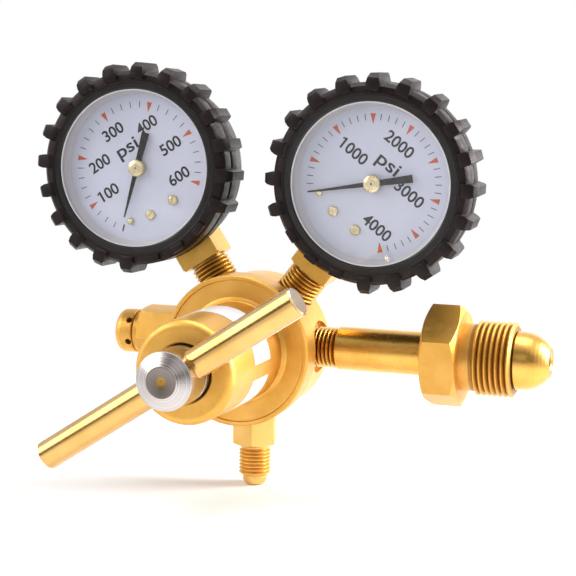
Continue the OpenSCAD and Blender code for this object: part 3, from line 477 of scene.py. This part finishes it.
bronzeLook = {"grainSize": 2600, "metal": 0.8, "rough": 0.6, "marks": 0.8, "depth": 0.0002,
              "grains": [(0.1, (0.5, 0.33, 0.15)), (0.6, (0.12, 0.07, 0.03))]}


def bronzeFinish(name, look):
    mat, tree, shader = newMaterial(name)
    grains = shaderNode(tree, "TexVoronoi", {"Vector": objectPlace(tree),
                                             "Scale": look["grainSize"]}).outputs["Distance"]
    feed(tree, shader, {"Base Color": ramp(tree, grains, look["grains"]),
                        "Metallic": look["metal"], "Roughness": look["rough"],
                        "Normal": bumped(tree, grains, look["marks"], look["depth"])})
    return mat


lensLook = {"colour": (0.985, 0.99, 1, 1), "clear": (0.97, 0.975, 0.98, 1),
            "rough": (0.01, 0.05), "smearSize": 40, "bending": 1.45}


def lensFinish(name, look):
    # clear plate: lamps shine straight through it onto the dial
    mat, tree, shader = newMaterial(name)
    smear = noise(tree, objectPlace(tree), look["smearSize"], 3)
    feed(tree, shader, {"Base Color": look["colour"], "Transmission Weight": 1,
                        "IOR": look["bending"],
                        "Roughness": noiseRange(tree, smear, *look["rough"], 0.8)})
    path = shaderNode(tree, "LightPath").outputs
    clear = shaderNode(tree, "BsdfTransparent", {"Color": look["clear"]})
    blendSurface(tree, path["Is Shadow Ray"], shader, clear)
    return mat


coats = {
    "body": brass["forgedBodyBrass"], "bonnet": brass["castBonnetBrass"],
    "bonnet_label": paint["labelFilm"], "slip_ring": brass["smallPartsBrass"],
    "diaphragm": diaphragmRubber, "diaphragm_plate": brass["smallPartsBrass"],
    "main_spring": springSteel, "spring_button": hubSteel, "thrust_ball": hubSteel,
    "adjusting_screw": hubSteel, "handle_bar": brass["drawnBarBrass"],
    "seat_nozzle": brass["smallPartsBrass"], "valve_poppet": brass["smallPartsBrass"],
    "valve_spring": springSteel, "inlet_nipple": brass["turnedNippleBrass"],
    "inlet_nut": brass["turnedNutBrass"],
    "inlet_filter": bronzeFinish("sinteredFilterBronze", bronzeLook),
    "outlet_fitting": brass["turnedOutletBrass"], "relief_body": brass["turnedReliefBrass"],
    "relief_cap": brass["turnedReliefBrass"], "relief_poppet": paint["poppetCoating"],
    "relief_spring": springSteel,
}
gaugeCoats = {
    "case": paint["blackEnamel"], "bezel": paint["blackEnamel"],
    "lens": lensFinish("clearLens", lensLook), "dial": paint["dialWhite"],
    "dial_screws": brass["paleDialBrass"], "stop_pin": brass["paleDialBrass"],
    "pointer": paint["pointerPaint"], "pinion": brass["smallPartsBrass"],
    "sector_gear": brass["smallPartsBrass"], "movement": brass["smallPartsBrass"],
    "pressure_tube": brass["smallPartsBrass"], "boot": bootRubber,
}
for side in gaugeLeans:
    for part, coat in gaugeCoats.items():
        coats[side + "_" + part] = coat
    coats[side + "_socket"] = brass[side + "SocketBrass"]
for name, cadNode in nodes.items():
    cadNode.data.materials.clear()
    cadNode.data.materials.append(coats[name])
print("finishes assigned")


def gaugeMatrix(lean, turn, reach):
    return (Matrix.Translation(bodyCentre) @ Matrix.Rotation(radians(lean), 4, "Y")
            @ Matrix.Rotation(radians(turn), 4, "Z") @ Matrix.Translation((0, 0, reach)))


# A figure's place is (right, up) from the middle of its dial. The hand is (tip, tail).
gauges = {
    "low": {"place": gaugeMatrix(gaugeLeans["low"], 2.7, 0.0703), "full": 600, "step": 100,
            "minor": 20, "end": 134.8, "turnPerUnit": 0.4605, "hand": (17.3, 12.3),
            "figures": {"100": (-14.0, -1.3), "200": (-11.4, 8.7), "300": (-1.4, 15.2),
                        "400": (10.2, 10.7), "500": (13.8, 0.3), "600": (10.9, -9.9)}},
    "high": {"place": gaugeMatrix(gaugeLeans["high"], 2.0, 0.0722), "full": 4000,
             "step": 500, "minor": 100, "end": 135.6, "turnPerUnit": 0.0698,
             "hand": (21.3, 13.4),
             "figures": {"1000": (-11.6, 3.9), "2000": (-1.2, 15.2), "3000": (11.3, 4.9),
                         "4000": (9.8, -10.4)}},
}


sharpFrom = radians(32)
sameSpot = 1e-6


def finishPiece(bm, name, coat, body, smooth=True):
    mesh = bpy.data.meshes.new(name)
    bmesh.ops.recalc_face_normals(bm, faces=bm.faces)
    bm.to_mesh(mesh)
    bm.free()
    if smooth:
        mesh.shade_smooth()
        mesh.set_sharp_from_angle(angle=sharpFrom)
    piece = inScene(name, mesh)
    mesh.materials.append(coat)
    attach(piece, body)
    return piece


def prism(bm, low, high):
    # closed solid between two outlines with as many corners
    rear = [bm.verts.new(corner) for corner in low]
    front = [bm.verts.new(corner) for corner in high]
    bm.faces.new(rear)
    bm.faces.new(front)
    for i in range(len(rear)):
        j = (i + 1) % len(rear)
        bm.faces.new((rear[i], rear[j], front[j], front[i]))


scale = {"outer": 22.4, "wedgeLong": 3.3, "wedgeWide": 1.8, "wedgeTip": 0.12,
         "tickLong": 2.1, "tickWide": 0.28, "zeroLong": 2.4, "zeroWide": 0.55, "face": 13.0,
         "ink": 0.03, "figureTall": 3.95, "figureWide": 2.72, "figureTrim": 0.2,
         "unitPlace": (0.05, 7.3), "unitTall": 5.6, "unitWide": 8.2, "fontSize": 1.4,
         "bold": 0.1, "flagReach": 0.2, "flagDrop": 0.13, "flagThick": 0.15}


def scaleAngle(gauge, value):
    # clockwise from straight up the stem, in degrees
    return gauge["end"] - (gauge["full"] - value) * gauge["turnPerUnit"]


def addTick(bm, angle, longest, outerWide, innerWide):
    turn = Matrix.Rotation(radians(angle), 4, "Y")
    middle = Matrix.Translation((0, -(scale["face"] + scale["ink"]) * mm,
                                 (scale["outer"] - longest / 2) * mm))
    size = Matrix.Diagonal((outerWide * mm, scale["ink"] * mm, longest * mm, 1))
    made = bmesh.ops.create_cube(bm, size=1, matrix=size)["verts"]
    for vert in made:
        if vert.co.z < 0:
            vert.co.x *= innerWide / outerWide
    bmesh.ops.transform(bm, verts=made, matrix=turn @ middle)


def addFlag(shape, tall):
    # the short upstroke that the font leaves off a leading 1
    reach, drop, thick = (scale[key] * tall * mm for key in ("flagReach", "flagDrop",
                                                             "flagThick"))
    left, top = min(v.co.x for v in shape.vertices), max(v.co.y for v in shape.vertices)
    half = max(v.co.z for v in shape.vertices)
    corners = [(left + thick / 2, top), (left - reach, top - drop),
               (left - reach, top - drop - thick), (left + thick / 2, top - thick)]
    bm = bmesh.new()
    bm.from_mesh(shape)
    prism(bm, [(x, y, -half) for x, y in corners], [(x, y, half) for x, y in corners])
    bm.to_mesh(shape)
    bm.free()


def addFigure(bm, words, place, wide, tall):
    letters = bpy.data.curves.new("figure", "FONT")
    letters.body = words
    letters.size = tall * scale["fontSize"] * mm
    letters.extrude = scale["ink"] * mm / 2
    letters.offset = scale["bold"] * mm
    holder = inScene("figure", letters)
    graph = bpy.context.evaluated_depsgraph_get()
    shape = bpy.data.meshes.new_from_object(holder.evaluated_get(graph))
    bpy.data.objects.remove(holder)
    if words.startswith("1"):
        addFlag(shape, tall)
    # centred, brought to its printed size and stood up on the dial
    xs, ys = [v.co.x for v in shape.vertices], [v.co.y for v in shape.vertices]
    middle = Matrix.Translation((-(min(xs) + max(xs)) / 2, -(min(ys) + max(ys)) / 2, 0))
    size = Matrix.Diagonal((wide * mm / (max(xs) - min(xs)),
                            tall * mm / (max(ys) - min(ys)), 1, 1))
    stand = Matrix.Translation((place[0] * mm, -(scale["face"] + scale["ink"]) * mm,
                                place[1] * mm))
    shape.transform(stand @ Matrix.Rotation(radians(90), 4, "X") @ size @ middle)
    bm.from_mesh(shape)
    bpy.data.meshes.remove(shape)


def addDialPrint(side, gauge):
    figures, ticks, wedges = bmesh.new(), bmesh.new(), bmesh.new()
    for value in range(gauge["minor"], gauge["full"] + 1, gauge["minor"]):
        angle = scaleAngle(gauge, value)
        if value == gauge["minor"]:
            # the zero mark stands where the first small step would
            addTick(figures, angle, scale["zeroLong"], scale["zeroWide"], scale["zeroWide"])
        elif value % gauge["step"] == 0:
            addTick(wedges, angle, scale["wedgeLong"], scale["wedgeWide"], scale["wedgeTip"])
        else:
            addTick(ticks, angle, scale["tickLong"], scale["tickWide"], scale["tickWide"])
    for words, place in gauge["figures"].items():
        wide = scale["figureWide"] * len(words) - scale["figureTrim"]
        addFigure(figures, words, place, wide, scale["figureTall"])
    addFigure(figures, "psi", scale["unitPlace"], scale["unitWide"], scale["unitTall"])
    for bm, part, coat in ((figures, "Figures", "printBlack"), (ticks, "Ticks", "tickGrey"),
                           (wedges, "Wedges", "wedgeOrange")):
        bmesh.ops.transform(bm, verts=bm.verts, matrix=gauge["place"])
        finishPiece(bm, side + "Dial" + part, paint[coat], "regulator",
                    smooth=False)


hand = {"tipHalf": 0.18, "midHalf": 0.85, "tailHalf": 1.3, "rear": 14.52, "front": 15.0}


def addHand(side, gauge, h):
    # thin hand lying over the zero mark, wide at its tail
    tip, tail = gauge["hand"]
    outline = [(h["tipHalf"], tip), (h["midHalf"], 0), (h["tailHalf"], -tail),
               (-h["tailHalf"], -tail), (-h["midHalf"], 0), (-h["tipHalf"], tip)]
    bm = bmesh.new()
    prism(bm, [(x * mm, -h["rear"] * mm, z * mm) for x, z in outline],
          [(x * mm, -h["front"] * mm, z * mm) for x, z in outline])
    turn = Matrix.Rotation(radians(scaleAngle(gauge, gauge["minor"])), 4, "Y")
    bmesh.ops.transform(bm, verts=bm.verts, matrix=gauge["place"] @ turn)
    piece = finishPiece(bm, side + "Hand", paint["pointerPaint"], side + "_indicator",
                        smooth=False)
    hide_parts(side + "_pointer")


# The gauges' turned pieces: a profile of (radius, forward) points, spun round the gauge's
# own axis. One with a node stands over that node instead.
turned = {
    "PointerHub": {"profile": [(0, 15.9), (0.34, 15.9), (0.4, 16.22), (1.2, 16.2),
                               (1.28, 16.1), (1.4, 16.16), (2.35, 16.0), (2.75, 15.75),
                               (2.9, 15.4), (2.9, 13.8), (0, 13.8)],
                   "steps": 48, "coat": brass["paleDialBrass"], "body": "_indicator",
                   "slot": "bright_brass"},
    "PointerPin": {"profile": [(0, 16.1), (0.36, 16.1), (0.3, 16.26), (0, 16.28)],
                   "steps": 24, "coat": springSteel, "body": "_indicator",
                   "slot": "steel"},
    # rounded head over the pin that the pointer rests on
    "PinHead": {"profile": [(0, 13.02), (1.2, 13.02), (1.2, 13.6), (1.05, 14.05),
                            (0.75, 14.35), (0.35, 14.48), (0, 14.48)],
                "steps": 32, "coat": brass["paleDialBrass"], "node": "_stop_pin",
                "slot": "bright_brass"},
    # pressed ring that holds the dial, opening outwards
    "InnerRing": {"profile": [(24.8, 13.05), (28.5, 13.05), (28.5, 16.6), (26.4, 16.6),
                              (24.9, 13.5), (24.8, 13.4), (24.8, 13.05)],
                  "steps": 128, "coat": paint["innerRingSilver"], "slot": "steel"},
    # painted highlight: a pale silver ring inside the black bezel, standing in for the light
    # caught on its inner lip
    "BezelEdgeHighlight": {"profile": [(25.9, 17.95), (26.33, 17.95), (26.33, 18.5), (26.1, 18.5),
                              (25.9, 18.3), (25.9, 17.95)],
                  "steps": 128, "coat": paint["innerRingSilver"], "slot": "steel"},
}


def addTurned(side, gauge, part, p):
    bm = bmesh.new()
    made = [bm.verts.new((r * mm, -f * mm, 0)) for r, f in p["profile"]]
    edges = [bm.edges.new(pair) for pair in zip(made, made[1:])]
    bmesh.ops.spin(bm, geom=made + edges, cent=(0, 0, 0), axis=(0, 1, 0), angle=2 * pi,
                   steps=p["steps"], use_merge=True, use_duplicate=False)
    bmesh.ops.remove_doubles(bm, verts=bm.verts, dist=sameSpot)
    if "node" in p:
        under = nodes[side + p["node"]].data.vertices
        back = gauge["place"].inverted()
        middle = sum((back @ v.co for v in under), Vector()) / len(under)
        bmesh.ops.translate(bm, verts=bm.verts, vec=(middle.x, 0, middle.z))
    bmesh.ops.transform(bm, verts=bm.verts, matrix=gauge["place"])
    body = side + p["body"] if "body" in p else "regulator"
    finishPiece(bm, side + part, p["coat"], body)


boot = {"rounding": 0.0004, "steps": 2, "roundFrom": radians(28), "flat": radians(1),
        "coat": bootRubber, "body": "regulator", "slot": "boot_rubber"}


def addBoot(name, pieceName, b):
    # the solid again, with its faces joined and its edges rounded as moulding leaves them
    bm = bmesh.new()
    bm.from_mesh(nodes[name].data)
    bmesh.ops.remove_doubles(bm, verts=bm.verts, dist=sameSpot)
    bmesh.ops.dissolve_limit(bm, angle_limit=b["flat"], verts=bm.verts, edges=bm.edges)
    mesh = bpy.data.meshes.new(pieceName)
    bm.to_mesh(mesh)
    bm.free()
    mesh.shade_smooth()
    mesh.materials.append(b["coat"])
    piece = inScene(pieceName, mesh)
    rounding = piece.modifiers.new("edgeRounding", "BEVEL")
    rounding.width = b["rounding"]
    rounding.segments = b["steps"]
    rounding.limit_method = "ANGLE"
    rounding.angle_limit = b["roundFrom"]
    rounding.harden_normals = True
    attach(piece, b["body"])
    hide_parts(name)


softParts = {
    "valve_spring": {"piece": "valveSpringSoft", "joint": "valve_lift", "axis": 1,
                     "anchor": 0.0055, "travel": 0.0008, "coat": springSteel,
                     "slot": "spring_steel"},
    "relief_spring": {"piece": "reliefSpringSoft", "joint": "relief_lift", "axis": 0,
                      "anchor": -0.14, "travel": 0.0015, "coat": springSteel,
                      "slot": "spring_steel"},
    "diaphragm": {"piece": "diaphragmSoft", "joint": "diaphragm_travel", "axis": 1,
                  "anchor": -0.0146, "travel": 0.0008, "coat": diaphragmRubber,
                  "slot": "diaphragm_rubber"},
}


def softCopy(name, p):
    # the solid again, as a copy with its own mesh and finish, in place of the node
    mesh = nodes[name].data.copy()
    mesh.materials.clear()
    mesh.materials.append(p["coat"])
    piece = inScene(p["piece"], mesh)
    way, anchor = [0, 0, 0], list(bodyCentre)
    way[p["axis"]], anchor[p["axis"]] = 1, p["anchor"]
    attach(piece, "regulator")
    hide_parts(name)
    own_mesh(piece)


for name, p in softParts.items():
    softCopy(name, p)
print("soft parts copied")
for side, gauge in gauges.items():
    addDialPrint(side, gauge)
    addHand(side, gauge, hand)
    for part, p in turned.items():
        addTurned(side, gauge, part, p)
    addBoot(side + "_boot", side + "MouldedBoot", boot)
print("gauge faces made")
